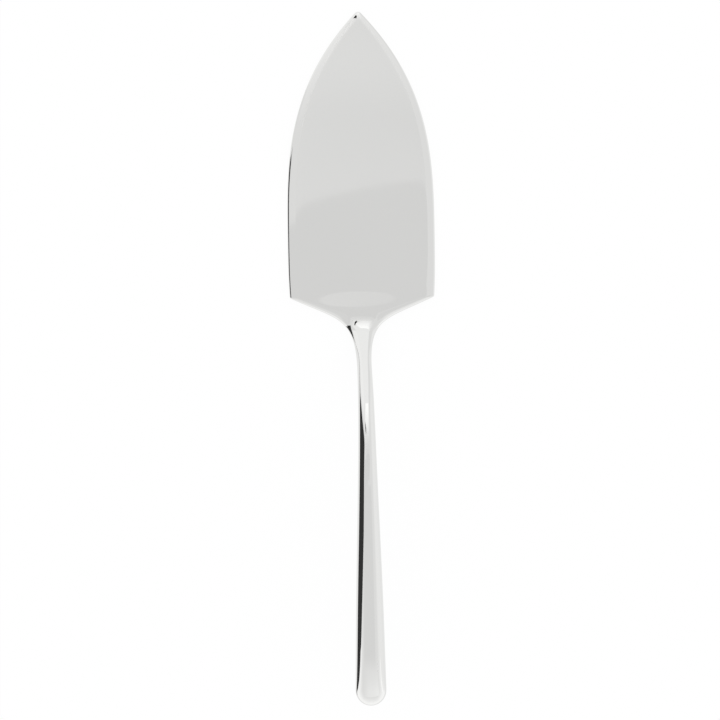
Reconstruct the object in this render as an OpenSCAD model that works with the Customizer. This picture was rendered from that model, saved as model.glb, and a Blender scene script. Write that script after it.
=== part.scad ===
// Cake server: a forged blade with a cranked neck and a tang, set in a hollow handle of two shells.
// Millimetres. +Z is up, +Y runs from the handle to the tip, z = 0 is the face it rests on.

/* [Blade] */
// Width of the blade where it is widest
blade_w = 55.3; // [45:0.1:65]
// Length from the tip to the rear corners
blade_len = 107.2; // [95:0.1:125]
// Thickness of the flat part of the blade
blade_t = 2; // [1.4:0.1:2.6]
// Thickness at the tip, thinned so that it slides under a slice
tip_t = 1.3; // [0.8:0.1:2]
// Length over which the tip is thinned
thin_len = 45; // [25:1:70]
// Length from the tip to the widest place
ogive_len = 85.2; // [75:0.1:95]
// Fullness of the curved sides
ogive_power = 3; // [2.2:0.1:3.8]
// Radius of the blunt point
tip_r = 1.6; // [0.6:0.1:3]
// Width of the gentle bevel along the edges
edge_band = 3.3; // [1.5:0.1:5]
// Share of the thickness that the bevel takes off
edge_drop = 0.3; // [0.1:0.05:0.6]
// Reach of the rounding at the very edge
edge_round = 0.6; // [0.3:0.05:1]

/* [Neck] */
// Width of the neck where it is slimmest
neck_w = 5.5; // [4.5:0.1:8]
// Thickness of the neck at the same place
neck_t = 4.8; // [3.6:0.1:6.5]
// Thickness of the blade's root, which the neck starts from
root_t = 2.38; // [2:0.02:2.8]
// Length over which the blade thickens to its root
root_len = 10; // [6:0.5:12]
// Distance from the start of that thickening to the rear corners
root_lead = 4.2; // [2:0.1:6]
// Reach of the thick root to either side of the middle, where it has faded out
root_spread = 35; // [30:0.5:50]
// Length from the rear corners to the slimmest place
flare_len = 26.2; // [22:0.1:32]
// Length behind the rear corners over which the flat edges turn round
round_len = 14; // [8:0.5:20]
// Angle of the rear edges to a line across the blade
rear_angle = 25; // [10:1:32]
// Reach of the rear edges before they curve into the neck
rear_lead = 20; // [12:0.1:22]
// Reach of the neck forwards before it curves into the rear edges
neck_lead = 18.9; // [12:0.1:21]
// Length from the rear corners to the mouth of the handle
neck_len = 58.3; // [50:0.1:75]
// Height that the neck lifts the handle above the blade
crank_rise = 20; // [12:0.5:24]
// Size of the bend: more makes it gentler
crank_reach = 24.25; // [20:0.25:30]
// Length that makes the bend start as an even curve
crank_even = 6; // [0:0.5:16]
// Distance from the rear corners to the start of the rise
crank_lag = 5.5; // [2:0.1:8]
// How late the neck thickens in the bend, where 1 is even
thicken_power = 1.5; // [1.5:0.1:2.5]
// Bow of the bend across the blade, which leaves the corners flat
crank_bow = 0.018; // [0.012:0.001:0.04]

/* [Handle] */
// Length of the hollow handle from its mouth to its end
handle_len = 92.6; // [80:0.1:120]
// Width of the handle near its end
handle_w = 11.4; // [9.6:0.1:16]
// Thickness of the handle near its end
handle_t = 7.6; // [6:0.1:11]
// Wall of the pressed shells
wall = 0.6; // [0.4:0.05:0.9]
// Length of the rounding at the end, seen from the side
nose_len = 22; // [12:1:30]
// Sway of the taper from a straight line, as a share of its growth
taper_sway = 0.05; // [0:0.01:0.12]
// Share of the half width that is rounded, and the rest is a flat crown
crown = 0.88; // [0.6:0.01:0.94]
// Squareness of the handle's section, where 2 is an ellipse
section_power = 2.2; // [2:0.1:3]

/* [Joint] */
// Length of the spigot that enters the handle's mouth
spigot_len = 8; // [6:0.5:14]
// Gap between the spigot and the shells for the braze to flow in
braze_gap = 0.1; // [0.05:0.01:0.2]
// Distance from the mouth to the braze ring
braze_at = 2.5; // [1.5:0.1:3.5]
// Length of the braze ring along the spigot
braze_len = 1.2; // [0.8:0.1:2]
// Depth of the groove that holds the braze ring
braze_depth = 0.5; // [0.3:0.05:0.8]
// Length of the tang behind the spigot
tang_len = 46; // [30:1:55]
// Width of the tang
tang_w = 3.6; // [2.6:0.1:4.4]
// Thickness of the tang
tang_t = 2.4; // [1.6:0.1:3.2]
// Radius of the tang's long edges
tang_r = 0.5; // [0.2:0.05:0.8]
// Number of waists that key the tang in the cement
waists = 4; // [2:1:6]
// Length of one waist
waist_len = 3; // [1:0.5:4]
// Depth of the waists on each side
waist_depth = 0.5; // [0.2:0.05:0.8]
// Cement behind the end of the tang
cement_cover = 6; // [2:0.5:12]
// Height of the weld along the seam of the shells
weld_w = 0.6; // [0.3:0.05:1]
// Depth of the weld from the outside
weld_depth = 0.3; // [0.15:0.05:0.35]

/* [Hidden] */
// Facets in a quarter of a section, and those of them in the rounding of the blade's edge
quarter = 9;
edge_facets = 5;
// Points across the flat of the blade, as shares of its half width
across = [0.75, 0.4, 0, -0.4, -0.75];
// Overlap that keeps a cut from ending on a face
cut = 0.5;

crank_at = blade_len + crank_lag;
root_at = blade_len - root_lead;
neck_end = blade_len + flare_len;
mouth = blade_len + neck_len;
server_len = mouth + handle_len;
nose_r = handle_w / 2;
nose_at = server_len - nose_len;
spigot_end = mouth + spigot_len;
tang_end = spigot_end + tang_len;
cement_end = tang_end + cement_cover;

function share(a, b, u) = a + (b - a) * u;
function clamp(u) = min(max(u, 0), 1);
function ease(u) = clamp(u) * clamp(u) * (3 - 2 * clamp(u));
function bezier(p, t) = p[0] * pow(1 - t, 3) + 3 * p[1] * t * pow(1 - t, 2)
    + 3 * p[2] * t * t * (1 - t) + p[3] * pow(t, 3);

// Places are given by s, the distance back from the tip.
// Curved sides of the blade, with the blunt point as an arc that touches both
tip_half_angle = atan(ogive_power * blade_w / 2 / ogive_len);
tip_lead = tip_r / sin(tip_half_angle) - tip_r;
tip_arc = tip_r * (1 - sin(tip_half_angle));
function side_half(s) = blade_w / 2 * (1 - pow(abs(1 - (s + tip_lead) / ogive_len), ogive_power));
function blade_half(s) = s < tip_arc ? sqrt(s * (2 * tip_r - s)) : side_half(s);

// Taper of the handle, which starts at the slimmest place of the neck
function taper(s) = let (u = clamp((s - neck_end) / (server_len - nose_r - neck_end)))
    u - taper_sway * sin(360 * u);
function handle_half(s, inset = 0) = let (past = s - (server_len - nose_r))
    past < 0 ? share(neck_w, handle_w, taper(s)) / 2 - inset
    : sqrt(max(0, pow(nose_r - inset, 2) - past * past));
function handle_depth(s, inset = 0) = let (full = share(neck_t, handle_t, taper(s)) / 2 - inset)
    s < nose_at ? full : full * sqrt(max(0, 1 - pow((s - nose_at) / (nose_len - inset), 2)));

// Half thickness and lift of the centre line; off the middle, the bend lags behind by its bow
function bowed(s, x) = s - crank_bow * x * x * (1 - ease((s - neck_end) / (mouth - neck_end)));
function plate_depth(s, x) = share(tip_t, blade_t, ease(s / thin_len)) / 2
    + (root_t - blade_t) / 2 * ease((s - root_at) / root_len) * (1 - ease(abs(x) / root_spread));
function thickening(s) = pow(ease((s - crank_at) / (neck_end - crank_at)), thicken_power);
function depth(s, x = 0) = s < neck_end ? plate_depth(s, x) + (neck_t - root_t) / 2 * thickening(bowed(s, x))
    : handle_depth(s);
function rise(s) = let (past = max(0, s - crank_at), climb = past * past * (past + crank_even))
    crank_rise * climb / (climb + pow(crank_reach, 3));
function middle(s, x = 0) = plate_depth(s, x) + rise(bowed(s, x));

// Rear edges, from the corner into the neck
corner = [blade_half(blade_len), blade_len];
rear_edge = [
    corner,
    corner + rear_lead * [-cos(rear_angle), sin(rear_angle)],
    [neck_w / 2, neck_end - neck_lead],
    [neck_w / 2, neck_end]
];

// Edge of the blade: a rounding, then a gentle bevel that runs out in the flat
function edge_share(within, band, reach) = (1 - edge_drop) * sqrt(1 - pow(1 - clamp(within / reach), 2))
    + edge_drop * (1 - pow(1 - clamp(within / band), 2));
function plate_edge(half) =
    let (band = min(edge_band, crown * half), reach = min(edge_round, band / 2))
    [for (i = [0:quarter])
        let (within = i > edge_facets ? share(reach, band, (i - edge_facets) / (quarter - edge_facets))
            : reach * (1 - cos(90 * i / edge_facets)))
        [half - within, edge_share(within, band, reach)]];

// Edge of the neck, the handle and the tang: a roll up to the flat crown
function roll_x(half, roll, power, angle) = half - roll + roll * pow(cos(angle), 2 / power);
function rolled_edge(half, roll, power) =
    [for (i = [0:quarter]) let (angle = 90 * i / quarter) [roll_x(half, roll, power, angle), sin(angle)]];
function handle_edge(half) = rolled_edge(half, crown * half, section_power);

// Points round a section from its right edge, each as its x and its share of the half thickness
function reversed(points) = [for (i = [len(points) - 1:-1:0]) points[i]];
function section(edge) = let (flat = edge[quarter][0]) concat(
    edge,
    [for (u = across) [flat * u, 1]],
    [for (p = reversed(edge)) [-p[0], p[1]]],
    [for (i = [1:quarter]) [-edge[i][0], -edge[i][1]]],
    [for (u = across) [-flat * u, -1]],
    [for (i = [quarter:-1:1]) [edge[i][0], -edge[i][1]]]
);
function placed(s, x, height) = [x, server_len / 2 - s, middle(s, x) + height];
function blade_ring(s, half) =
    let (edge = share(plate_edge(half), handle_edge(half), clamp((s - blade_len) / round_len)))
    let (point = edge_share(s, edge_band, edge_round))
    [for (p = section(edge)) placed(s, p[0], p[1] * point * depth(s, p[0]))];
function handle_ring(s, inset) = let (half = handle_half(s, inset), deep = handle_depth(s, inset))
    [for (p = section(handle_edge(half))) placed(s, p[0], p[1] * deep)];
function tang_ring(s, waist) =
    [for (p = section(rolled_edge(tang_w / 2 - waist, tang_r, 2))) placed(s, p[0], p[1] * (tang_t / 2 - waist))];

// A solid through closed rings of equal count, with a flat cap at each end
function strips(rings, count) = [for (r = [0:rings - 2]) for (i = [0:count - 1])
    let (a = r * count + i, b = r * count + (i + 1) % count)
    each [[a, b + count, b], [a, a + count, b + count]]];
module loft(rings) {
    count = len(rings[0]);
    last = (len(rings) - 1) * count;
    polyhedron(
        points = [for (ring = rings) each ring],
        faces = concat(
            strips(len(rings), count),
            [[for (i = [0:count - 1]) i]],
            [[for (i = [count - 1:-1:0]) last + i]]
        )
    );
}

// Places of the rings
tip_rings = [for (a = [12:12:84 - tip_half_angle])
    let (s = tip_r * (1 - cos(a))) blade_ring(s, blade_half(s))];
side_rings = [for (i = [0:22])
    let (s = share(tip_arc, root_at, pow(i / 22, 1.4))) blade_ring(s, blade_half(s))];
bend_rings = [for (i = [1:3])
    let (s = share(root_at, blade_len, i / 3)) blade_ring(s, blade_half(s))];
rear_rings = [for (i = [1:20])
    let (p = bezier(rear_edge, i / 20)) blade_ring(p[1], p[0])];
neck_rings = [for (i = [1:8])
    let (s = share(neck_end, mouth, i / 8)) blade_ring(s, handle_half(s))];
spigot_rings = [for (step = [
        [0, 0], [braze_at, 0], [braze_at, braze_depth],
        [braze_at + braze_len, braze_depth], [braze_at + braze_len, 0], [spigot_len, 0]
    ]) handle_ring(mouth + step[0], wall + braze_gap + step[1])];
waist_gap = (tang_len - waists * waist_len) / (waists + 1);
waist_rings = [for (i = [1:waists])
    let (s = spigot_end + i * (waist_gap + waist_len) - waist_len)
    each [tang_ring(s, 0), tang_ring(s, waist_depth),
        tang_ring(s + waist_len, waist_depth), tang_ring(s + waist_len, 0)]];
tang_rings = concat([tang_ring(spigot_end, 0)], waist_rings, [tang_ring(tang_end, 0)]);

// Blade, cranked neck, spigot and waisted tang: one forging
module blade() {
    color([0.80, 0.80, 0.79])
        loft(concat(tip_rings, side_rings, bend_rings, rear_rings, neck_rings, spigot_rings, tang_rings));
}

// Stations of the shells: even to the rounding of the end, then by angle round it
shell_steps = concat(
    [for (i = [0:14]) [i / 14, 0]],
    [for (a = [10:10:70]) [1, a]],
    [[1, 78], [1, 83], [1, 87]]
);
function shell_s(step, inset) = share(mouth, nose_at, step[0]) + (nose_len - inset) * sin(step[1]);

// Half a shell's section above the seam, for the outside (from the weld up) or the cavity
function weld_half(s) = min(weld_w / 2, handle_depth(s) / 2);
function arch(s, inset, lift) =
    let (half = handle_half(s, inset), deep = handle_depth(s, inset), start = asin(lift / deep))
    let (angles = [for (i = [0:quarter]) share(start, 90, i / quarter)])
    concat(
        [for (a = angles) [roll_x(half, crown * half, section_power, a), s, deep * sin(a)]],
        [for (i = [quarter:-1:0]) [-roll_x(half, crown * half, section_power, angles[i]), s, deep * sin(angles[i])]]
    );
function weld_root(step, side) = let (s = shell_s(step, weld_depth))
    [side * handle_half(s, weld_depth), s, 0];
function shell_ring(step) = let (s = shell_s(step, 0)) concat(
    arch(s, 0, weld_half(s)),
    [weld_root(step, -1)],
    reversed(arch(shell_s(step, wall), wall, 0)),
    [weld_root(step, 1)]
);

// From s, and height over the seam, to the part's own frame; flip is -1 for the lower shell
function seated(p, flip = 1) = placed(p[1], p[0], flip * p[2]);

// One pressed shell; its end is closed by the flats of the last ring
module shell(flip) {
    rings = [for (step = shell_steps) [for (p = shell_ring(step)) seated(p, flip)]];
    count = len(rings[0]);
    arc = 2 * (quarter + 1);
    last = (len(rings) - 1) * count;
    faces = concat(
        strips(len(rings), count),
        [[for (i = [0:count - 1]) i]],
        [[for (i = [arc - 1:-1:0]) last + i]],
        [[last + count - 1, last + arc, last + arc - 1, last]],
        [[last + 2 * arc, last + arc + 1, last + arc, last + count - 1]],
        [[for (i = [2 * arc:-1:arc + 1]) last + i]]
    );
    polyhedron(
        points = [for (ring = rings) each ring],
        faces = flip > 0 ? faces : [for (f = faces) reversed(f)]
    );
}

module handle_top_shell() {
    color([0.78, 0.78, 0.78])
        shell(1);
}

module handle_bottom_shell() {
    color([0.74, 0.74, 0.75])
        shell(-1);
}

// Weld in the groove between the shells: along one side, round the end and back
function weld_ring(step, side) =
    let (s = shell_s(step, 0), edge = arch(s, 0, weld_half(s))[0])
    [for (p = [[side * edge[0], s, edge[2]], [side * edge[0], s, -edge[2]], weld_root(step, side)]) seated(p)];
module seam_weld() {
    color([0.62, 0.62, 0.64])
        loft(concat(
            [for (step = shell_steps) weld_ring(step, -1)],
            [for (step = reversed(shell_steps)) weld_ring(step, 1)]
        ));
}

// Ring of braze between the groove of the spigot and the shells
module mouth_braze_ring() {
    from = mouth + braze_at;
    to = from + braze_len;
    color([0.80, 0.68, 0.40])
        difference() {
            loft([for (s = [from, to]) handle_ring(s, wall)]);
            loft([for (s = [from - cut, to + cut]) handle_ring(s, wall + braze_gap + braze_depth)]);
        }
}

// Cement in the cavity round the tang; the rest of the handle stays hollow
module tang_cement() {
    color([0.60, 0.58, 0.54])
        difference() {
            loft([for (i = [0:8]) handle_ring(share(spigot_end, cement_end, i / 8), wall)]);
            loft(concat([tang_ring(spigot_end - cut, 0)], tang_rings));
        }
}

blade();
handle_top_shell();
handle_bottom_shell();
seam_weld();
mouth_braze_ring();
tang_cement();
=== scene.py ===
"""Cake server: polished blade, hollow handle, seam weld, braze ring and tang cement, on a studio stage."""

import math
from functools import partial, reduce

import bmesh
import bpy
from mathutils import Matrix, Vector


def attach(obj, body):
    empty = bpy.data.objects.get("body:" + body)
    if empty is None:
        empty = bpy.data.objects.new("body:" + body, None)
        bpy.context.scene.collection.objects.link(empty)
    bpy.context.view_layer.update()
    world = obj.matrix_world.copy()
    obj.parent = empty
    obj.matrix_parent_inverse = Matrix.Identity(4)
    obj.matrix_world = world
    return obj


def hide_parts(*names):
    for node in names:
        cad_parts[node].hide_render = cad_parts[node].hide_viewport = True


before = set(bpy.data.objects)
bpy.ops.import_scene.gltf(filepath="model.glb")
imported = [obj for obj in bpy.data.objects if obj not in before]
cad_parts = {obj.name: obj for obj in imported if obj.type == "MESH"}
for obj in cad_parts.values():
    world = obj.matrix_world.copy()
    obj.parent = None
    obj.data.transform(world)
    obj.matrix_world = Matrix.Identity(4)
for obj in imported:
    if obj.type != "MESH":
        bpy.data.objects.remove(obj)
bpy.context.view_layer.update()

BODY = "root"

bl_info = {
    "name": "Cake server",
    "version": (1, 0, 0),
    "blender": (4, 5, 0),
    "location": "3D View > Sidebar > Cake Server",
    "description": "Builds a polished cake server with a hollow handle, and its studio stage",
    "category": "Add Mesh",
}


# Sizes and colours that a user would change


def length(name, description, default):
    """A length in metres, given in millimetres."""
    return bpy.props.FloatProperty(
        name=name, description=description, default=default / 1000, min=0, unit="LENGTH", precision=5
    )


def number(name, description, default):
    return bpy.props.FloatProperty(name=name, description=description, default=default)


def angle(name, description, default):
    return bpy.props.FloatProperty(
        name=name, description=description, default=math.radians(default), subtype="ANGLE"
    )


def colour(name, description, default):
    return bpy.props.FloatVectorProperty(
        name=name, description=description, default=default, size=3, min=0, max=1, subtype="COLOR"
    )


class SERVER_PG_blade(bpy.types.PropertyGroup):
    """Sizes of the blade."""

    width: length("Width", "Width of the blade where it is widest", 55.3)
    length: length("Length", "Length from the tip to the rear corners", 107.2)
    thickness: length("Thickness", "Thickness of the flat part", 2.0)
    tip_thickness: length("Tip thickness", "Thickness at the thinned tip", 1.3)
    thin_length: length("Thinned length", "Length over which the tip is thinned", 45)
    widest_at: length("Widest at", "Length from the tip to the widest place", 85.2)
    fullness: number("Fullness", "Fullness of the curved sides", 3.0)
    tip_radius: length("Tip radius", "Radius of the blunt point", 1.6)
    corner_radius: length("Corner reach", "Reach of the rounding at the rear corners", 0.6)
    edge_band: length("Edge bevel", "Width of the gentle bevel along the edges", 3.3)
    edge_drop: number("Edge drop", "Share of the thickness that the bevel takes off", 0.3)
    edge_round: length("Edge rounding", "Reach of the rounding at the very edge", 0.6)


class SERVER_PG_neck(bpy.types.PropertyGroup):
    """Sizes of the neck."""

    width: length("Width", "Width where the neck is slimmest", 5.5)
    thickness: length("Thickness", "Thickness where the neck is slimmest", 4.8)
    root: length("Root thickness", "Thickness of the blade's root, which the neck starts from", 2.38)
    root_length: length("Root length", "Length over which the blade thickens to its root", 10)
    root_lead: length("Root lead", "Distance from the start of that thickening to the rear corners", 4.2)
    root_spread: length("Root spread", "Reach of the thick root to either side, where it has faded out", 35)
    flare: length("Flare", "Length from the rear corners to the slimmest place", 26.2)
    rounding: length("Rounding", "Length behind the rear corners over which the flat edges turn round", 14)
    rear_angle: angle("Rear angle", "Angle of the rear edges to a line across the blade", 25)
    rear_lead: length("Rear reach", "Reach of the rear edges before they curve into the neck", 20)
    neck_lead: length("Neck reach", "Reach of the neck before it curves into the rear edges", 18.9)
    length: length("Length", "Length from the rear corners to the handle's mouth", 58.3)
    rise: length("Rise", "Height that the neck lifts the handle", 20)
    reach: length("Reach", "Size of the bend, where more is gentler", 24.25)
    even: length("Even start", "Length that makes the bend start as an even curve", 6)
    lag: length("Lag", "Distance from the rear corners to the start of the rise", 5.5)
    thicken: number("Thickening", "How late the neck thickens in the bend, where 1 is even", 1.5)
    bow: number("Bow", "Lag of the bend off the middle, per metre", 18.0)


class SERVER_PG_handle(bpy.types.PropertyGroup):
    """Sizes of the hollow handle and of its joint to the blade."""

    length: length("Length", "Length from the mouth to the end", 92.6)
    width: length("Width", "Width near the end", 11.4)
    thickness: length("Thickness", "Thickness near the end", 7.6)
    wall: length("Wall", "Wall of the pressed shells", 0.6)
    nose: length("Nose", "Length of the end's rounding seen from the side", 22)
    sway: number("Sway", "Sway of the taper from a straight line", 0.05)
    crown: number("Crown", "Share of the half width that is rounded", 0.88)
    power: number("Squareness", "Squareness of the section, where 2 is an ellipse", 2.2)
    weld: length("Weld width", "Height of the weld along the seam", 0.6)
    weld_depth: length("Weld depth", "Depth of the weld from the outside", 0.3)
    spigot: length("Spigot", "Length of the spigot in the handle's mouth", 8)
    braze_gap: length("Braze gap", "Gap between the spigot and the shells", 0.1)
    braze_at: length("Braze place", "Distance from the mouth to the braze ring", 2.5)
    braze_length: length("Braze length", "Length of the braze ring", 1.2)
    braze_depth: length("Braze depth", "Depth of the groove for the braze ring", 0.5)
    tang: length("Tang", "Length of the tang behind the spigot", 46)
    tang_width: length("Tang width", "Width of the tang", 3.6)
    tang_thickness: length("Tang thickness", "Thickness of the tang", 2.4)
    tang_radius: length("Tang radius", "Radius of the tang's long edges", 0.5)
    waists: bpy.props.IntProperty(name="Waists", description="Waists that key the tang", default=4, min=1)
    waist_length: length("Waist length", "Length of one waist", 3)
    waist_depth: length("Waist depth", "Depth of one waist on each side", 0.5)


class SERVER_PG_finish(bpy.types.PropertyGroup):
    """Colours of the materials."""

    steel: colour("Steel", "Colour of the polished steel", (0.70, 0.70, 0.69))
    braze: colour("Braze", "Colour of the brazing alloy", (0.72, 0.62, 0.38))
    cement: colour("Cement", "Colour of the handle cement", (0.52, 0.50, 0.46))


GROUPS = {
    "server_blade": SERVER_PG_blade,
    "server_neck": SERVER_PG_neck,
    "server_handle": SERVER_PG_handle,
    "server_finish": SERVER_PG_finish,
}


# The server's shape: places are given by s, the distance back from the tip


def share(a, b, u):
    return a + (b - a) * u


def clamp(u):
    return min(max(u, 0.0), 1.0)


def ease(u):
    u = clamp(u)
    return u * u * (3 - 2 * u)


class Shape:
    """Widths, thicknesses and heights of the server along its length."""

    def __init__(self, scene):
        self.b = scene.server_blade
        self.n = scene.server_neck
        self.h = scene.server_handle
        self.crank_at = self.b.length + self.n.lag
        self.root_at = self.b.length - self.n.root_lead
        self.neck_end = self.b.length + self.n.flare
        self.mouth = self.b.length + self.n.length
        self.length = self.mouth + self.h.length
        self.nose_at = self.length - self.h.nose
        self.nose_radius = self.h.width / 2
        slope = self.b.fullness * self.b.width / 2 / self.b.widest_at
        self.tip_angle = math.atan(slope)
        self.tip_lead = self.b.tip_radius / math.sin(self.tip_angle) - self.b.tip_radius
        self.tip_arc = self.b.tip_radius * (1 - math.sin(self.tip_angle))

    def blade_half(self, s):
        """Half width of the blade: an arc at the point, then the curved sides."""
        if s < self.tip_arc:
            return math.sqrt(s * (2 * self.b.tip_radius - s))
        past = abs(1 - (s + self.tip_lead) / self.b.widest_at)
        return self.b.width / 2 * (1 - past**self.b.fullness)

    def taper(self, s):
        u = clamp((s - self.neck_end) / (self.length - self.nose_radius - self.neck_end))
        return u - self.h.sway * math.sin(math.tau * u)

    def handle_half(self, s, inset=0.0):
        past = s - (self.length - self.nose_radius)
        if past < 0:
            return share(self.n.width, self.h.width, self.taper(s)) / 2 - inset
        return math.sqrt(max(0.0, (self.nose_radius - inset) ** 2 - past**2))

    def handle_depth(self, s, inset=0.0):
        full = share(self.n.thickness, self.h.thickness, self.taper(s)) / 2 - inset
        if s < self.nose_at:
            return full
        past = (s - self.nose_at) / (self.h.nose - inset)
        return full * math.sqrt(max(0.0, 1 - past**2))

    def bowed(self, s, x):
        fade = 1 - ease((s - self.neck_end) / (self.mouth - self.neck_end))
        return s - self.n.bow * x * x * fade

    def plate_depth(self, s, x):
        """Half thickness of the blade, thin at the tip and thicker at its root."""
        plain = share(self.b.tip_thickness, self.b.thickness, ease(s / self.b.thin_length))
        growth = ease((s - self.root_at) / self.n.root_length) * (1 - ease(abs(x) / self.n.root_spread))
        return (plain + (self.n.root - self.b.thickness) * growth) / 2

    def depth(self, s, x):
        """Half thickness of the blade, neck or handle."""
        if s >= self.neck_end:
            return self.handle_depth(s)
        u = (self.bowed(s, x) - self.crank_at) / (self.neck_end - self.crank_at)
        growth = ease(u) ** self.n.thicken
        return self.plate_depth(s, x) + (self.n.thickness - self.n.root) / 2 * growth

    def middle(self, s, x):
        """Height of the middle plane: level under the blade, then lifted by the crank."""
        past = max(0.0, self.bowed(s, x) - self.crank_at)
        climb = past**2 * (past + self.n.even)
        return self.plate_depth(s, x) + self.n.rise * climb / (climb + self.n.reach**3)

    def edge_share(self, within, band, reach):
        """Share of the half thickness at a distance in from the edge: a rounding, then a gentle bevel."""
        rounding = math.sqrt(1 - (1 - clamp(within / reach)) ** 2)
        bevel = 1 - (1 - clamp(within / band)) ** 2
        return share(rounding, bevel, self.b.edge_drop)

    def plate_edge(self, half, k):
        """x and share of the half thickness at step k up the edge of the blade."""
        band = min(self.b.edge_band, self.h.crown * half)
        reach = min(self.b.edge_round, band / 2)
        if k <= EDGE_FACETS:
            within = reach * (1 - math.cos(math.radians(90) * k / EDGE_FACETS))
        else:
            within = share(reach, band, (k - EDGE_FACETS) / (QUARTER - EDGE_FACETS))
        return half - within, self.edge_share(within, band, reach)

    def place(self, s, x, height):
        return Vector((x, self.length / 2 - s, self.middle(s, x) + height))

    def rear_edge(self, t):
        """Half width and s along the rear edge, from the corner into the neck."""
        corner = Vector((self.blade_half(self.b.length), self.b.length))
        away = Vector((-math.cos(self.n.rear_angle), math.sin(self.n.rear_angle)))
        p1 = corner + self.n.rear_lead * away
        p3 = Vector((self.n.width / 2, self.neck_end))
        p2 = p3 - Vector((0, self.n.neck_lead))
        r = 1 - t
        return corner * r**3 + p1 * (3 * t * r * r) + p2 * (3 * t * t * r) + p3 * t**3


# Squareness of a plain round edge
PLAIN_ROUND = 2.0


def roll_x(half, roll, power, angle):
    """How far out a section reaches at an angle up its rolled edge."""
    return half - roll + roll * max(math.cos(angle), 0.0) ** (2 / power)


def rolled_edge(half, roll, power, k):
    """x and share of the half thickness at step k up the edge of the neck, the handle or the tang."""
    turn = math.radians(90) * k / QUARTER
    return roll_x(half, roll, power, turn), math.sin(turn)


# Counts and limits of the meshes
QUARTER = 22
EDGE_FACETS = 12
ACROSS = 20
TIP_STEPS = 8
SIDE_STEPS = 90
BEND_STEPS = 12
CORNER_STEPS = 8
REAR_STEPS = 70
NECK_STEPS = 60
SHELL_STEPS = 60
NOSE_STEPS = 36
SIDE_CROWDING = 1.3
MERGE_DISTANCE = 1e-7
SHARP_EDGE = math.radians(32)


def ring_marks():
    """Marks round a section: (side, step up the edge, share across the flat, up or down)."""
    steps = list(range(QUARTER + 1))
    flats = [1 - 2 * i / ACROSS for i in range(1, ACROSS)]
    marks = [(1, k, None, 1) for k in steps]
    marks += [(0, QUARTER, u, 1) for u in flats]
    marks += [(-1, k, None, 1) for k in reversed(steps)]
    marks += [(-1, k, None, -1) for k in steps[1:]]
    marks += [(0, QUARTER, -u, -1) for u in flats]
    marks += [(1, k, None, -1) for k in reversed(steps[1:])]
    return marks


def ring_point(mark, edge):
    """x of one mark and its share of the half thickness; edge(step) gives them on the right."""
    side, step, across, up = mark
    x, height = edge(step)
    return x * (across if side == 0 else side), height * up


def bent_grid(columns, rows, place, wrap):
    """A grid bent by place(column, row), as an open sheet or wrapped round into a closed tube."""
    spans = columns if wrap else columns - 1
    bm = bmesh.new()
    bmesh.ops.create_grid(bm, x_segments=spans, y_segments=rows - 1, size=0.5)
    for v in bm.verts:
        column = round((v.co.x + 0.5) * spans)
        row = round((v.co.y + 0.5) * (rows - 1))
        v.co = place(column % columns, row)
    bmesh.ops.remove_doubles(bm, verts=bm.verts, dist=MERGE_DISTANCE)
    return bm


def close_ends(bm):
    rims = [e for e in bm.edges if e.is_boundary]
    if rims:
        bmesh.ops.holes_fill(bm, edges=rims, sides=0)


def finish_piece(bm, name, node, material):
    """Turns faces outwards, smooths all but the sharp edges, and hands the piece to the frame."""
    bmesh.ops.recalc_face_normals(bm, faces=bm.faces)
    for face in bm.faces:
        face.smooth = True
    for edge in bm.edges:
        edge.smooth = edge.is_manifold and edge.calc_face_angle() < SHARP_EDGE
    mesh = bpy.data.meshes.new(name)
    bm.to_mesh(mesh)
    bm.free()
    piece = bpy.data.objects.new(name, mesh)
    bpy.context.collection.objects.link(piece)
    mesh.materials.append(material)
    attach(piece, BODY)
    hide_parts(node)


# Finishes: noise scales are per metre, bump heights in metres, and shades are shares of the base colour
HAIRLINE_SCALE = 900.0
HAIRLINE_STRETCH = 0.03
HAIRLINE_HEIGHT = 0.00002
HAZE_SCALE = 45.0
HAZE_ROUGHNESS = 0.6
TONE_SCALE = 14.0
TONE_SPREAD = 0.015
STEEL_ROUGHNESS = (0.02, 0.055)
STEEL_BUMP = 0.02
WELD_SHADE = 0.97
WELD_ROUGHNESS = (0.05, 0.12)
WELD_LINE_SCALE = 1400.0
WELD_BUMP = 0.04
RIPPLE_SCALE = 2200.0
RIPPLE_HEIGHT = 0.00005
BRAZE_DARK_SHADE = 0.7
BRAZE_METALLIC = 0.9
BRAZE_ROUGHNESS = (0.28, 0.5)
BRAZE_BUMP = 0.3
SAND_SCALE = 3000.0
SAND_SHADES = (0.7, 1.2)
PORE_SCALE = 1200.0
PORE_HEIGHT = 0.0001
CEMENT_ROUGHNESS = (0.7, 0.95)
CEMENT_BUMP = 0.6


def node_group(name, inputs, outputs):
    """A new shader node group with its named sockets, and its two end nodes."""
    group = bpy.data.node_groups.new(name, "ShaderNodeTree")
    for label, kind, default in inputs:
        socket = group.interface.new_socket(name=label, in_out="INPUT", socket_type=kind)
        if default is not None:
            socket.default_value = default
    for label, kind in outputs:
        group.interface.new_socket(name=label, in_out="OUTPUT", socket_type=kind)
    return group, group.nodes.new("NodeGroupInput"), group.nodes.new("NodeGroupOutput")


def noise(tree, vector, scale, detail):
    """A noise texture, whose scale is a number or another node's output."""
    texture = tree.nodes.new("ShaderNodeTexNoise")
    texture.inputs["Detail"].default_value = detail
    if isinstance(scale, float):
        texture.inputs["Scale"].default_value = scale
    else:
        tree.links.new(scale, texture.inputs["Scale"])
    tree.links.new(vector, texture.inputs["Vector"])
    return texture


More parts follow.
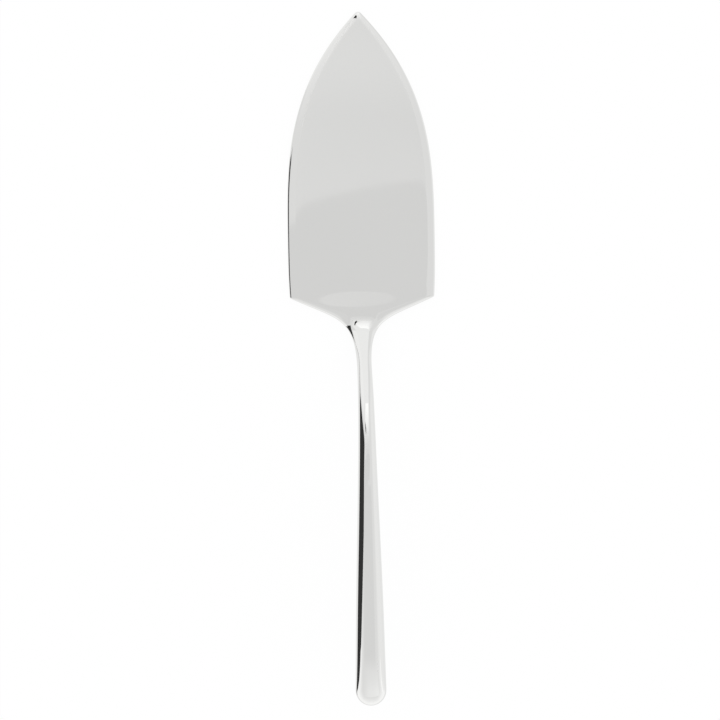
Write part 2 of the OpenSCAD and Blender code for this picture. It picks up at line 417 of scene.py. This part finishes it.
def polish_marks():
    """Hairlines, wipe haze and slow tone of a polished steel surface, along the length."""
    if "polish_marks" in bpy.data.node_groups:
        return bpy.data.node_groups["polish_marks"]
    group, start, end = node_group(
        "polish_marks",
        [
            ("Vector", "NodeSocketVector", None),
            ("Hairline Scale", "NodeSocketFloat", HAIRLINE_SCALE),
            ("Haze Scale", "NodeSocketFloat", HAZE_SCALE),
        ],
        [("Haze", "NodeSocketFloat"), ("Hairlines", "NodeSocketFloat"), ("Tone", "NodeSocketFloat")],
    )
    where = start.outputs["Vector"]
    stretch = group.nodes.new("ShaderNodeMapping")
    stretch.inputs["Scale"].default_value = (1.0, HAIRLINE_STRETCH, 1.0)
    group.links.new(where, stretch.inputs["Vector"])
    lines = noise(group, stretch.outputs["Vector"], start.outputs["Hairline Scale"], detail=3.0)
    haze = noise(group, where, start.outputs["Haze Scale"], detail=4.0)
    haze.inputs["Roughness"].default_value = HAZE_ROUGHNESS
    tone = noise(group, where, TONE_SCALE, detail=1.0)
    for label, texture in (("Haze", haze), ("Hairlines", lines), ("Tone", tone)):
        group.links.new(texture.outputs["Fac"], end.inputs[label])
    return group


def ranged(tree, value, low, high):
    """A value between 0 and 1, spread from low to high."""
    spread = tree.nodes.new("ShaderNodeMapRange")
    spread.inputs["To Min"].default_value = low
    spread.inputs["To Max"].default_value = high
    tree.links.new(value, spread.inputs["Value"])
    return spread.outputs["Result"]


def mixed(tree, factor, first, second):
    mix = tree.nodes.new("ShaderNodeMix")
    mix.data_type = "RGBA"
    mix.inputs["A"].default_value = (*first, 1)
    mix.inputs["B"].default_value = (*second, 1)
    tree.links.new(factor, mix.inputs["Factor"])
    return mix.outputs["Result"]


def shade(base, factor):
    return tuple(min(1.0, c * factor) for c in base)


def new_material(name):
    """A new material, its nodes, its shader and the coordinates on the piece."""
    material = bpy.data.materials.new(name)
    material.use_nodes = True
    tree = material.node_tree
    where = tree.nodes.new("ShaderNodeTexCoord").outputs["Object"]
    return material, tree, tree.nodes["Principled BSDF"], where


def dress(tree, shader, base, roughness, height, strength, distance):
    """Gives the shader its colour, its roughness and a bump, all from other nodes."""
    bump = tree.nodes.new("ShaderNodeBump")
    bump.inputs["Strength"].default_value = strength
    bump.inputs["Distance"].default_value = distance
    tree.links.new(height, bump.inputs["Height"])
    tree.links.new(base, shader.inputs["Base Color"])
    tree.links.new(roughness, shader.inputs["Roughness"])
    tree.links.new(bump.outputs["Normal"], shader.inputs["Normal"])


def steel_material(name, base, roughness, hairline_scale, strength):
    """Polished steel: near mirror, with fine hairlines along it and a faint wiped haze."""
    if name in bpy.data.materials:
        return bpy.data.materials[name]
    material, tree, shader, where = new_material(name)
    marks = tree.nodes.new("ShaderNodeGroup")
    marks.node_tree = polish_marks()
    marks.inputs["Hairline Scale"].default_value = hairline_scale
    tree.links.new(where, marks.inputs["Vector"])
    shader.inputs["Metallic"].default_value = 1.0
    tone = mixed(tree, marks.outputs["Tone"], shade(base, 1 - TONE_SPREAD), shade(base, 1 + TONE_SPREAD))
    haze = ranged(tree, marks.outputs["Haze"], *roughness)
    dress(tree, shader, tone, haze, marks.outputs["Hairlines"], strength, HAIRLINE_HEIGHT)
    return material


def polished_steel():
    base = bpy.context.scene.server_finish.steel
    return steel_material("polished_steel", base, STEEL_ROUGHNESS, HAIRLINE_SCALE, STEEL_BUMP)


def ground_weld():
    base = shade(bpy.context.scene.server_finish.steel, WELD_SHADE)
    return steel_material("ground_weld", base, WELD_ROUGHNESS, WELD_LINE_SCALE, WELD_BUMP)


def braze_material():
    """Brazing alloy: dull gold with a rippled, slightly oxidised skin."""
    base = bpy.context.scene.server_finish.braze
    material, tree, shader, where = new_material("brazing_alloy")
    ripple = noise(tree, where, RIPPLE_SCALE, detail=3.0).outputs["Fac"]
    shader.inputs["Metallic"].default_value = BRAZE_METALLIC
    skin = mixed(tree, ripple, shade(base, BRAZE_DARK_SHADE), base)
    dress(tree, shader, skin, ranged(tree, ripple, *BRAZE_ROUGHNESS), ripple, BRAZE_BUMP, RIPPLE_HEIGHT)
    return material


def cement_material():
    """Handle cement: sandy grey with fine pores."""
    base = bpy.context.scene.server_finish.cement
    material, tree, shader, where = new_material("handle_cement")
    sand = noise(tree, where, SAND_SCALE, detail=5.0).outputs["Fac"]
    pores = tree.nodes.new("ShaderNodeTexVoronoi")
    pores.inputs["Scale"].default_value = PORE_SCALE
    tree.links.new(where, pores.inputs["Vector"])
    grains = mixed(tree, sand, *(shade(base, factor) for factor in SAND_SHADES))
    dull = ranged(tree, sand, *CEMENT_ROUGHNESS)
    dress(tree, shader, grains, dull, pores.outputs["Distance"], CEMENT_BUMP, PORE_HEIGHT)
    return material


def blade_sections(shape):
    """Sections from the tip to the tang's end: (s, edge by step, share of depth, half thickness or None)."""
    b, n, h = shape.b, shape.n, shape.h
    sections = []

    def plate(s, half):
        blend = clamp((s - b.length) / n.rounding)

        def edge(k):
            thin = Vector(shape.plate_edge(half, k))
            return share(thin, Vector(rolled_edge(half, h.crown * half, h.power, k)), blend)

        sections.append((s, edge, shape.edge_share(s, b.edge_band, b.edge_round), None))

    def inner(s, inset):
        half = shape.handle_half(s, inset)
        edge = partial(rolled_edge, half, h.crown * half, h.power)
        sections.append((s, edge, 1.0, shape.handle_depth(s, inset)))

    def tang(s, inset):
        edge = partial(rolled_edge, h.tang_width / 2 - inset, h.tang_radius, PLAIN_ROUND)
        sections.append((s, edge, 1.0, h.tang_thickness / 2 - inset))

    corner_s = b.length - b.corner_radius
    t_corner = b.corner_radius / (3 * n.rear_lead)
    for i in range(1, TIP_STEPS):
        turn = (math.pi / 2 - shape.tip_angle) * i / TIP_STEPS
        s = b.tip_radius * (1 - math.cos(turn))
        plate(s, shape.blade_half(s))
    for i in range(SIDE_STEPS + 1):
        s = share(shape.tip_arc, shape.root_at, (i / SIDE_STEPS) ** SIDE_CROWDING)
        plate(s, shape.blade_half(s))
    for i in range(1, BEND_STEPS):
        s = share(shape.root_at, corner_s, i / BEND_STEPS)
        plate(s, shape.blade_half(s))
    first = Vector((shape.blade_half(corner_s), corner_s))
    peak = shape.rear_edge(0)
    last = shape.rear_edge(t_corner)
    for i in range(CORNER_STEPS + 1):
        t = i / CORNER_STEPS
        p = first * (1 - t) ** 2 + peak * (2 * t * (1 - t)) + last * t * t
        plate(p.y, p.x)
    for i in range(1, REAR_STEPS + 1):
        p = shape.rear_edge(share(t_corner, 1.0, i / REAR_STEPS))
        plate(p.y, p.x)
    for i in range(1, NECK_STEPS + 1):
        s = share(shape.neck_end, shape.mouth, i / NECK_STEPS)
        plate(s, shape.handle_half(s))
    fit = h.wall + h.braze_gap
    groove_end = h.braze_at + h.braze_length
    groove = ((h.braze_at, 0), (h.braze_at, h.braze_depth), (groove_end, h.braze_depth), (groove_end, 0))
    for along, deeper in ((0, 0), *groove, (h.spigot, 0)):
        inner(shape.mouth + along, fit + deeper)
    tang_at = shape.mouth + h.spigot
    gap = (h.tang - h.waists * h.waist_length) / (h.waists + 1)
    waist = ((0, 0), (0, h.waist_depth), (h.waist_length, h.waist_depth), (h.waist_length, 0))
    tang(tang_at, 0)
    for i in range(h.waists):
        s = tang_at + gap + i * (gap + h.waist_length)
        for along, deep in waist:
            tang(s + along, deep)
    tang(tang_at + h.tang, 0)
    return sections


class SERVER_OT_blade(bpy.types.Operator):
    """Model the forged blade with its cranked neck, spigot and tang"""

    bl_idname = "server.blade"
    bl_label = "Blade and neck"

    def execute(self, context):
        shape = Shape(context.scene)
        marks = ring_marks()
        sections = blade_sections(shape)

        def place(column, row):
            s, edge, thinning, deep = sections[row]
            x, height = ring_point(marks[column], edge)
            return shape.place(s, x, height * thinning * (shape.depth(s, x) if deep is None else deep))

        bm = bent_grid(len(marks), len(sections), place, wrap=True)
        close_ends(bm)
        finish_piece(bm, "blade_polished", "blade", polished_steel())
        return {"FINISHED"}


def shell_steps():
    """Steps along a shell: (share of the straight part, angle round the end)."""
    straight = [(i / SHELL_STEPS, 0.0) for i in range(SHELL_STEPS + 1)]
    return straight + [(1.0, math.radians(90) * i / NOSE_STEPS) for i in range(1, NOSE_STEPS + 1)]


def shell_s(shape, step, inset=0.0):
    return share(shape.mouth, shape.nose_at, step[0]) + (shape.h.nose - inset) * math.sin(step[1])


def weld_angle(shape, s):
    """Angle up the side at which the weld ends and the shell starts."""
    deep = shape.handle_depth(s)
    if deep <= 0:
        return 0.0
    return math.asin(min(shape.h.weld / 2, deep / 2) / deep)


def skin_point(shape, s, rise_angle, side):
    half = shape.handle_half(s)
    x = side * roll_x(half, shape.h.crown * half, shape.h.power, rise_angle)
    return x, shape.handle_depth(s) * math.sin(rise_angle)


class SERVER_OT_shells(bpy.types.Operator):
    """Model the two pressed shells of the hollow handle"""

    bl_idname = "server.shells"
    bl_label = "Handle shells"

    def execute(self, context):
        shape = Shape(context.scene)
        steps = shell_steps()
        half_arch = QUARTER + 1
        columns = 2 * half_arch

        def shell(up, name, node):
            def place(column, row):
                s = shell_s(shape, steps[row])
                start = weld_angle(shape, s)
                side = 1 if column < half_arch else -1
                part = (column if side > 0 else columns - 1 - column) / (half_arch - 1)
                x, height = skin_point(shape, s, share(start, math.pi / 2, part), side)
                return shape.place(s, x, up * height)

            bm = bent_grid(columns, len(steps), place, wrap=False)
            bmesh.ops.recalc_face_normals(bm, faces=bm.faces)
            outward = sum(f.normal.z for f in bm.faces) * up > 0
            if not outward:
                bmesh.ops.reverse_faces(bm, faces=bm.faces)
            bmesh.ops.solidify(bm, geom=bm.faces[:], thickness=shape.h.wall)
            finish_piece(bm, name, node, polished_steel())

        shell(1, "top_shell_polished", "handle_top_shell")
        shell(-1, "bottom_shell_polished", "handle_bottom_shell")
        return {"FINISHED"}


class SERVER_OT_weld(bpy.types.Operator):
    """Model the ground weld along the seam of the shells"""

    bl_idname = "server.weld"
    bl_label = "Seam weld"

    def execute(self, context):
        shape = Shape(context.scene)
        # The sides meet at the last step, so the run turns back one step before it
        steps = shell_steps()[:-1]
        run = [(step, -1) for step in steps] + [(step, 1) for step in reversed(steps)]
        across = (1, 0.5, 0, -0.5, -1)

        def place(column, row):
            step, side = run[row]
            if column == len(across):
                s = shell_s(shape, step, shape.h.weld_depth)
                return shape.place(s, side * shape.handle_half(s, shape.h.weld_depth), 0)
            s = shell_s(shape, step)
            up = across[column]
            x, height = skin_point(shape, s, weld_angle(shape, s) * abs(up), side)
            return shape.place(s, x, math.copysign(height, up))

        bm = bent_grid(len(across) + 1, len(run), place, wrap=True)
        close_ends(bm)
        finish_piece(bm, "seam_weld_ground", "seam_weld", ground_weld())
        return {"FINISHED"}


class SERVER_OT_inside(bpy.types.Operator):
    """Give the braze ring and the tang cement their materials"""

    bl_idname = "server.inside"
    bl_label = "Braze and cement"

    def execute(self, context):
        for node, material in (("mouth_braze_ring", braze_material()), ("tang_cement", cement_material())):
            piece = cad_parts[node]
            for slot in piece.material_slots:
                slot.material = material
        return {"FINISHED"}


# Stage: the camera looks down from a little to the left, in a white room with a dark flag on the left
CAMERA_LENS = 150
CAMERA_SENSOR = 36
CAMERA_TILT = math.radians(3.2)
CAMERA_ROLL = math.radians(0.85)
CAMERA_TARGET = Vector((-0.0012, -0.00162, 0.002))
FRAME_HEIGHT = 0.2699
FLOOR_REACH = 4.0
FLOOR_GLOW = 0.93
FLOOR_SHEEN = 0.1
WHITE = (1, 1, 1, 1)


def wall(start, end, top, bottom=0.0):
    """Corners of an upright card over a straight line on the floor."""
    return [(*start, bottom), (*end, bottom), (*end, top), (*start, top)]


def side_card(x, *points):
    """Corners of an upright card that faces along X."""
    return [(x, y, z) for y, z in points]


def level_card(height, *points):
    """Corners of a level card."""
    return [(x, y, height) for x, y in points]


def level_box(height, left, right, near, far):
    """Corners of a level card with square corners."""
    return level_card(height, (left, near), (right, near), (right, far), (left, far))


# Tones, fades and places of the cards that show only in the steel
DARK = 0.045
BLACK = 0.02
UNFADED = (0.0, 0.0, 0.0, 0.0)
SHARP_FADE = 0.002
FLAG_X = -0.35
FLOOR_CARD = 0.0005
LOW = 1.0
UNDER_CEILING = 2.45
CEILING = 2.5
OVER_CEILING = 2.55
HIGHEST = 2.6

# Each card has a name, a level, the shares that fade (left, right, bottom, top) and its corners
STAGE_CARDS = (
    ("left_flag", DARK, UNFADED,
     side_card(FLAG_X, (-0.2, 0.0), (0.14, 0.0), (0.14, 0.35), (0.21, 1.0), (0.19, 1.1), (0.03, 0.74),
               (-0.06, 0.59), (-0.13, 0.27), (-0.14, 0.2), (-0.19, 0.15))),
    ("left_floor", DARK, UNFADED,
     level_card(FLOOR_CARD, (-0.066, -0.16), (-0.066, -0.115), (-0.108, -0.065), (-0.1, 0.15), (-2.0, 0.9),
                (-2.0, -0.5))),
    ("left_wall", 1.24, (0.0, 0.0, 0.0, 0.6), wall((-2.02, -1.0), (-2.02, -0.2), 2.6)),
    ("left_back_wall", 1.2, (0.1, 0.0, 0.0, 0.1), wall((-2.02, 1.22), (-0.7, 2.2), 3.3)),
    ("overhead_blade", 0.912, UNFADED,
     level_card(LOW, (-0.32, 0.02), (0.045, 0.02), (0.052, 0.028), (0.0591, 0.031), (0.09, 0.031),
                (0.1, 0.045), (0.14, 0.06), (0.17, 0.075), (0.17, 0.105), (0.14, 0.117), (0.115, 0.1225),
                (0.099, 0.1245), (0.085, 0.124), (0.057, 0.1195), (0.035, 0.1145), (0.021, 0.1105),
                (0.007, 0.104), (-0.02, 0.096), (-0.32, 0.096))),
    ("overhead_handle", 0.93, (0.1, 0.1, 0.4, 0.0), level_box(LOW, -0.6, 0.35, -0.36, 0.02)),
    ("overhead_flag", BLACK, UNFADED,
     level_card(UNDER_CEILING, (-0.28, 0.81), (-0.12, 0.68), (0.07, 0.585), (0.07, 0.74), (-0.12, 0.85),
                (-0.28, 0.95))),
    ("soft_box", 1.42, (0.15, 0.55, 0.98, 0.01),
     level_card(CEILING, (-0.42, 0.34), (1.1, 0.34), (1.1, 1.66), (0.02, 1.66))),
    ("soft_left", 1.16, (0.1, 0.0, 0.5, 0.01), level_box(OVER_CEILING, -0.72, 0.4, 0.34, 1.69)),
    ("back_ceiling", 1.16, (0.05, 0.05, 0.0, 0.0), level_box(CEILING, -0.8, 1.1, 1.66, 2.25)),
    ("back_wall", 1.17, (0.02, 0.02, 0.0, 0.0), wall((-0.9, 2.2), (1.2, 2.2), 2.5)),
    ("right_wall", 1.12, (0.05, 0.05, 0.0, 0.6), wall((2.0, -1.0), (2.0, 1.5), 3.5)),
    ("right_front_wall", 1.3, (0.0, 0.3, 0.0, 0.85), wall((0.9, -2.0), (1.95, -0.4), 3.0)),
    ("front_ceiling", 1.16, (0.8, 0.1, 0.0, 0.75), level_box(CEILING, -1.6, 1.6, -2.0, -0.3)),
    ("front_wall", 1.3, (0.0, 0.0, 0.0, 0.85), wall((-0.9, -2.0), (0.9, -2.0), 3.0)),
    ("left_front_wall", 1.3, (0.02, 0.0, 0.0, 0.85), wall((-1.95, -0.88), (-0.9, -2.0), 3.0)),
    ("right_strip", 1.5, (0.1, 0.15, 0.2, 0.2), wall((1.6, -0.95), (1.6, -0.3), 1.19, bottom=1.05)),
    ("overhead_tip", 0.955, (0.7, 0.05, 0.35, 0.2), level_box(HIGHEST, -0.1, 0.4, 0.1, 0.75)),
)


def new_stage_mesh(name, bm, material):
    mesh = bpy.data.meshes.new(name)
    bm.to_mesh(mesh)
    bm.free()
    item = bpy.data.objects.new(name, mesh)
    bpy.context.collection.objects.link(item)
    mesh.materials.append(material)
    return item


def bare_material(name):
    """A new material that has no shader yet, and its nodes."""
    material = bpy.data.materials.new(name)
    material.use_nodes = True
    tree = material.node_tree
    tree.nodes.remove(tree.nodes["Principled BSDF"])
    return material, tree


def maths(tree, operation, *values):
    """A Math node on other nodes' outputs and on numbers."""
    node = tree.nodes.new("ShaderNodeMath")
    node.operation = operation
    for socket, value in zip(node.inputs, values):
        if isinstance(value, float):
            socket.default_value = value
        else:
            tree.links.new(value, socket)
    return node.outputs[0]


def blended_surface(tree, factor, first, second):
    """Shows two shaders, blended by a factor."""
    blend = tree.nodes.new("ShaderNodeMixShader")
    for socket, value in zip(blend.inputs, (factor, first.outputs[0], second.outputs[0])):
        tree.links.new(value, socket)
    tree.links.new(blend.outputs[0], tree.nodes["Material Output"].inputs["Surface"])


def floor_material():
    """White floor that shows white to the camera and in the steel, and keeps a soft shadow."""
    material, tree = bare_material("white_floor")
    matt = tree.nodes.new("ShaderNodeBsdfDiffuse")
    matt.inputs["Color"].default_value = WHITE
    glow = tree.nodes.new("ShaderNodeEmission")
    paths = tree.nodes.new("ShaderNodeLightPath")
    in_steel = paths.outputs["Is Glossy Ray"]
    tree.links.new(maths(tree, "MULTIPLY_ADD", in_steel, FLOOR_SHEEN, 1.0), glow.inputs["Strength"])
    seen = maths(tree, "MAXIMUM", paths.outputs["Is Camera Ray"], in_steel)
    blended_surface(tree, maths(tree, "MULTIPLY", seen, FLOOR_GLOW), matt, glow)
    return material


def edge_fade(tree, along, start, fade):
    """Rises from 0 at one edge, which is at start, to 1 further in."""
    ramp = tree.nodes.new("ShaderNodeMapRange")
    ramp.interpolation_type = "SMOOTHSTEP"
    ramp.inputs["From Min"].default_value = start
    ramp.inputs["From Max"].default_value = start + (1 - 2 * start) * max(fade, SHARP_FADE)
    tree.links.new(along, ramp.inputs["Value"])
    return ramp.outputs[0]


def card_material(name, level, soft):
    """A glow that fades out towards the card's left, right, lower and upper edges, by shares of its size."""
    material, tree = bare_material(name)
    glow = tree.nodes.new("ShaderNodeEmission")
    glow.inputs["Color"].default_value = (level, level, level, 1)
    clear = tree.nodes.new("ShaderNodeBsdfTransparent")
    where = tree.nodes.new("ShaderNodeUVMap")
    where.uv_map = "card"
    axes = tree.nodes.new("ShaderNodeSeparateXYZ")
    tree.links.new(where.outputs["UV"], axes.inputs[0])
    edges = zip("XXYY", (0, 1, 0, 1), soft)
    fades = [edge_fade(tree, axes.outputs[axis], start, fade) for axis, start, fade in edges]
    blended_surface(tree, reduce(partial(maths, tree, "MULTIPLY"), fades), clear, glow)
    return material


def stage_card(name, level, soft, corners):
    """A flat card that shows only in reflections; one with more than four corners has no fades."""
    bm = bmesh.new()
    face = bm.faces.new([bm.verts.new(c) for c in corners])
    uv = bm.loops.layers.uv.new("card")
    square = ((0, 0), (1, 0), (1, 1), (0, 1))
    for i, loop in enumerate(face.loops):
        loop[uv].uv = square[i] if len(corners) == len(square) else (0.5, 0.5)
    card = new_stage_mesh(name, bm, card_material(name, level, soft))
    for hidden in ("visible_camera", "visible_diffuse", "visible_shadow", "visible_transmission"):
        setattr(card, hidden, False)


class SERVER_OT_stage(bpy.types.Operator):
    """Set up the floor, the light and the camera"""

    bl_idname = "server.stage"
    bl_label = "Stage"

    def execute(self, context):
        scene = context.scene
        scene.view_settings.view_transform = "Standard"
        bm = bmesh.new()
        bmesh.ops.create_grid(bm, x_segments=1, y_segments=1, size=FLOOR_REACH)
        new_stage_mesh("floor", bm, floor_material())
        world = bpy.data.worlds.new("white_room")
        scene.world = world
        world.use_nodes = True
        world.node_tree.nodes["Background"].inputs["Color"].default_value = WHITE
        for card in STAGE_CARDS:
            stage_card(*card)
        camera_data = bpy.data.cameras.new("camera")
        camera_data.lens = CAMERA_LENS
        camera_data.sensor_width = CAMERA_SENSOR
        camera = bpy.data.objects.new("camera", camera_data)
        context.collection.objects.link(camera)
        distance = FRAME_HEIGHT / 2 / (CAMERA_SENSOR / 2 / CAMERA_LENS)
        back = Vector((-math.sin(CAMERA_TILT), 0, math.cos(CAMERA_TILT)))
        turn = Matrix.Rotation(-CAMERA_TILT, 4, "Y") @ Matrix.Rotation(-CAMERA_ROLL, 4, "Z")
        camera.matrix_world = Matrix.Translation(CAMERA_TARGET + back * distance) @ turn
        scene.camera = camera
        return {"FINISHED"}


class SERVER_PT_panel(bpy.types.Panel):
    """The steps that build the server"""

    bl_label = "Cake server"
    bl_idname = "SERVER_PT_panel"
    bl_space_type = "VIEW_3D"
    bl_region_type = "UI"
    bl_category = "Cake Server"

    def draw(self, context):
        for operator in OPERATORS:
            self.layout.operator(operator.bl_idname)


OPERATORS = (SERVER_OT_blade, SERVER_OT_shells, SERVER_OT_weld, SERVER_OT_inside, SERVER_OT_stage)
CLASSES = (*GROUPS.values(), *OPERATORS, SERVER_PT_panel)


def register():
    for item in CLASSES:
        bpy.utils.register_class(item)
    for name, group in GROUPS.items():
        setattr(bpy.types.Scene, name, bpy.props.PointerProperty(type=group))


def unregister():
    for name in GROUPS:
        delattr(bpy.types.Scene, name)
    for item in reversed(CLASSES):
        bpy.utils.unregister_class(item)


def main():
    register()
    bpy.ops.server.blade()
    bpy.ops.server.shells()
    bpy.ops.server.weld()
    bpy.ops.server.inside()
    bpy.ops.server.stage()


if __name__ == "__main__":
    main()
